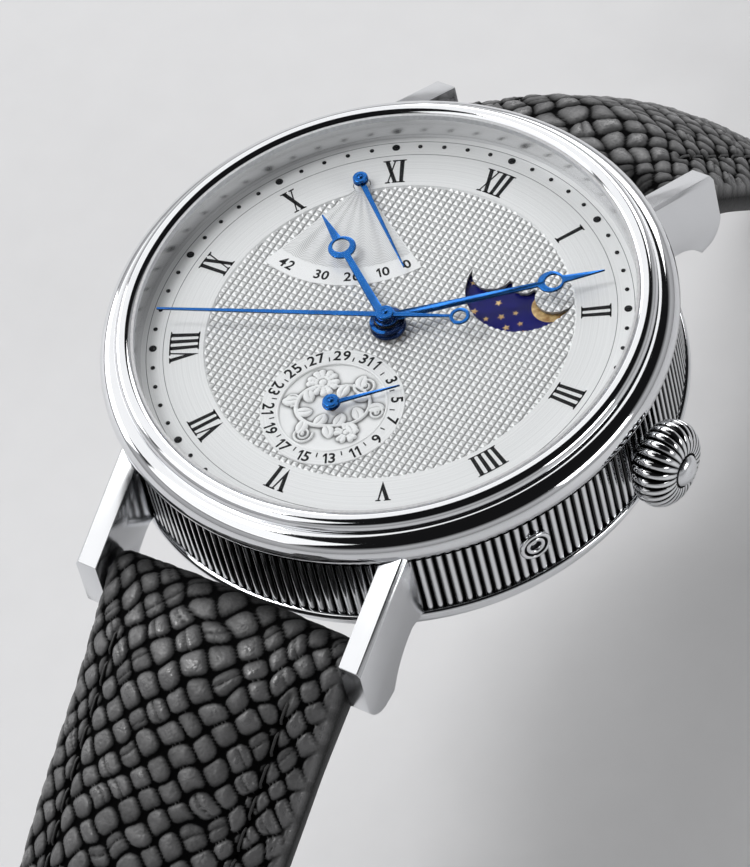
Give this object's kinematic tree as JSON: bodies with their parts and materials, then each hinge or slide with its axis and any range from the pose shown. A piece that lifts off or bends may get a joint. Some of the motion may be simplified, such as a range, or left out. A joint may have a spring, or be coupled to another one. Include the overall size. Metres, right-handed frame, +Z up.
{
  "type": "moon phase wristwatch",
  "caption": "Round steel wristwatch with coin-edge case, fluted crown, moon phase window, date and power reserve dials, blued hands and a padded leather strap with a pin buckle.",
  "frame": {"origin": "centre of the flat case back, on the dial axis", "axes": "+Z up through the dial along the hand axis, +Y towards twelve o'clock along the strap, +X towards three o'clock and the crown"},
  "size_m": [0.0442, 0.2111, 0.0487],
  "materials": {
    "polished_steel": "mirror polished stainless steel",
    "sapphire": "clear, coated",
    "seal_rubber": "matt",
    "silver_dial": "silvered, satin",
    "flange_steel": "circular brushed",
    "blued_steel": "heat blued, polished",
    "moon_enamel": "glossy lacquer with gilt moons and stars",
    "plate_nickel": "nickel plated, striped",
    "gilt_brass": "gilt",
    "train_steel": "polished",
    "ruby": "polished synthetic ruby",
    "black_leather": "embossed scale grain"
  },
  "bodies": {
    "case": {"case_middle": "polished_steel", "bezel": "polished_steel", "crystal": "sapphire", "crystal_gasket": "seal_rubber", "inner_flange": "flange_steel", "lugs_12": "polished_steel", "lugs_6": "polished_steel", "case_back_ring": "polished_steel", "case_back_window": "sapphire", "case_back_seal": "seal_rubber", "spring_bars": "polished_steel", "crown_tube": "polished_steel", "corrector_bush": "polished_steel", "dial_plate": "silver_dial", "chapter_ring": "silver_dial", "date_dial": "silver_dial", "main_plate": "plate_nickel", "barrel_bridge": "plate_nickel", "train_bridge": "plate_nickel", "balance_cock": "plate_nickel", "train_jewels": "ruby", "bridge_screws": "train_steel", "movement_ring": "flange_steel", "rotor_bearing": "train_steel"},
    "seconds": {"seconds_hand": "blued_steel", "fourth_wheel": "gilt_brass"},
    "minutes": {"minute_hand": "blued_steel", "cannon_pinion": "train_steel", "centre_wheel": "gilt_brass"},
    "hours": {"hour_hand": "blued_steel", "hour_wheel": "gilt_brass"},
    "minute_work": {"minute_wheel": "gilt_brass"},
    "third": {"third_wheel": "gilt_brass"},
    "barrel": {"mainspring_barrel": "gilt_brass", "mainspring": "train_steel"},
    "winding_arbor": {"barrel_arbor": "train_steel", "ratchet_wheel": "train_steel"},
    "escape": {"escape_wheel": "train_steel"},
    "fork": {"pallet_fork": "train_steel"},
    "balance": {"balance_wheel": "gilt_brass", "hairspring": "train_steel"},
    "moon": {"moon_disc": "moon_enamel"},
    "date": {"date_hand": "blued_steel", "date_wheel": "gilt_brass"},
    "power_reserve": {"power_reserve_hand": "blued_steel", "power_reserve_wheel": "gilt_brass"},
    "rotor": {"rotor": "plate_nickel"},
    "reverser": {"reversing_wheel": "gilt_brass"},
    "clutch": {"sliding_pinion": "train_steel", "winding_pinion": "train_steel"},
    "crown": {"crown": "polished_steel", "winding_stem": "train_steel"},
    "corrector": {"corrector_button": "polished_steel"},
    "strap_12": {"strap_12": "black_leather", "fixed_keeper": "black_leather"},
    "strap_6": {"strap_6": "black_leather"},
    "keeper": {"sliding_keeper": "black_leather"},
    "buckle": {"buckle_frame": "polished_steel", "buckle_bar": "polished_steel"},
    "tongue": {"buckle_tongue": "polished_steel"}
  },
  "joints": [
    {"name": "seconds_turn", "type": "hinge", "parent": "case", "child": "seconds", "pos_m": [0, 0, 0.0097], "axis": [0, 0, -1], "continuous": true},
    {"name": "minutes_turn", "type": "hinge", "parent": "case", "child": "minutes", "pos_m": [0, 0, 0.0097], "axis": [0, 0, -1], "continuous": true},
    {"name": "hours_turn", "type": "hinge", "parent": "case", "child": "hours", "pos_m": [0, 0, 0.0097], "axis": [0, 0, -1], "continuous": true},
    {"name": "minute_wheel_turn", "type": "hinge", "parent": "case", "child": "minute_work", "pos_m": [0.00225, 0.0013, 0.0097], "axis": [0, 0, -1], "continuous": true},
    {"name": "third_turn", "type": "hinge", "parent": "case", "child": "third", "pos_m": [0.00345, -0.00289, 0.0097], "axis": [0, 0, -1], "continuous": true},
    {"name": "barrel_turn", "type": "hinge", "parent": "case", "child": "barrel", "pos_m": [-0.00496, 0.00496, 0.0097], "axis": [0, 0, -1], "continuous": true},
    {"name": "winding_turn", "type": "hinge", "parent": "case", "child": "winding_arbor", "pos_m": [-0.00496, 0.00496, 0.0097], "axis": [0, 0, -1], "continuous": true},
    {"name": "escape_turn", "type": "hinge", "parent": "case", "child": "escape", "pos_m": [-0.00184, -0.00394, 0.0097], "axis": [0, 0, -1], "continuous": true},
    {"name": "fork_rock", "type": "hinge", "parent": "case", "child": "fork", "pos_m": [-0.00363, -0.00574, 0.0097], "axis": [0, 0, -1], "range_deg": [-5, 5]},
    {"name": "balance_swing", "type": "hinge", "parent": "case", "child": "balance", "pos_m": [-0.0059, -0.008, 0.0097], "axis": [0, 0, -1], "range_deg": [-270, 270], "stiffness_Nm_per_rad": 0.0000004},
    {"name": "moon_turn", "type": "hinge", "parent": "case", "child": "moon", "pos_m": [0.00662, 0.0072, 0.0097], "axis": [0, 0, -1], "continuous": true},
    {"name": "date_turn", "type": "hinge", "parent": "case", "child": "date", "pos_m": [0, -0.00755, 0.0097], "axis": [0, 0, -1], "continuous": true},
    {"name": "power_reserve_turn", "type": "hinge", "parent": "case", "child": "power_reserve", "pos_m": [-0.00883, 0.01056, 0.0097], "axis": [0, 0, -1], "range_deg": [0, 58]},
    {"name": "rotor_turn", "type": "hinge", "parent": "case", "child": "rotor", "pos_m": [0, 0, 0.0097], "axis": [0, 0, 1], "continuous": true},
    {"name": "reverser_turn", "type": "hinge", "parent": "case", "child": "reverser", "pos_m": [0.00046, 0.00357, 0.0097], "axis": [0, 0, 1], "continuous": true},
    {"name": "crown_turn", "type": "hinge", "parent": "case", "child": "clutch", "pos_m": [0.01105, 0, 0.006], "axis": [1, 0, 0], "continuous": true},
    {"name": "crown_pull", "type": "slide", "parent": "clutch", "child": "crown", "axis": [1, 0, 0], "range_m": [0, 0.0011]},
    {"name": "corrector_push", "type": "slide", "parent": "case", "child": "corrector", "axis": [-0.866, 0.5, 0], "range_m": [0, 0.0005], "stiffness_N_per_m": 200},
    {"name": "strap_12_swing", "type": "hinge", "parent": "case", "child": "strap_12", "pos_m": [0, 0.0223, 0.0034], "axis": [-1, 0, 0], "range_deg": [0, 50]},
    {"name": "strap_6_swing", "type": "hinge", "parent": "case", "child": "strap_6", "pos_m": [0, -0.0223, 0.0034], "axis": [1, 0, 0], "range_deg": [0, 50]},
    {"name": "keeper_slide", "type": "slide", "parent": "strap_12", "child": "keeper", "axis": [0, 1, 0], "range_m": [0, 0.003]},
    {"name": "buckle_swing", "type": "hinge", "parent": "strap_12", "child": "buckle", "pos_m": [0, 0.07959, -0.03358], "axis": [1, 0, 0], "range_deg": [0, 45]},
    {"name": "tongue_swing", "type": "hinge", "parent": "buckle", "child": "tongue", "pos_m": [0, 0.07959, -0.03358], "axis": [1, 0, 0], "range_deg": [0, 60]}
  ],
  "couplings": [
    {"joint": "third_turn", "follows": "seconds_turn", "ratio": -0.13333},
    {"joint": "minutes_turn", "follows": "seconds_turn", "ratio": 0.016667},
    {"joint": "barrel_turn", "follows": "seconds_turn", "ratio": -0.0020833},
    {"joint": "minute_wheel_turn", "follows": "seconds_turn", "ratio": -0.0055556},
    {"joint": "hours_turn", "follows": "seconds_turn", "ratio": 0.0013889},
    {"joint": "escape_turn", "follows": "seconds_turn", "ratio": -12},
    {"joint": "reverser_turn", "follows": "rotor_turn", "ratio": -0.8}
  ]
}
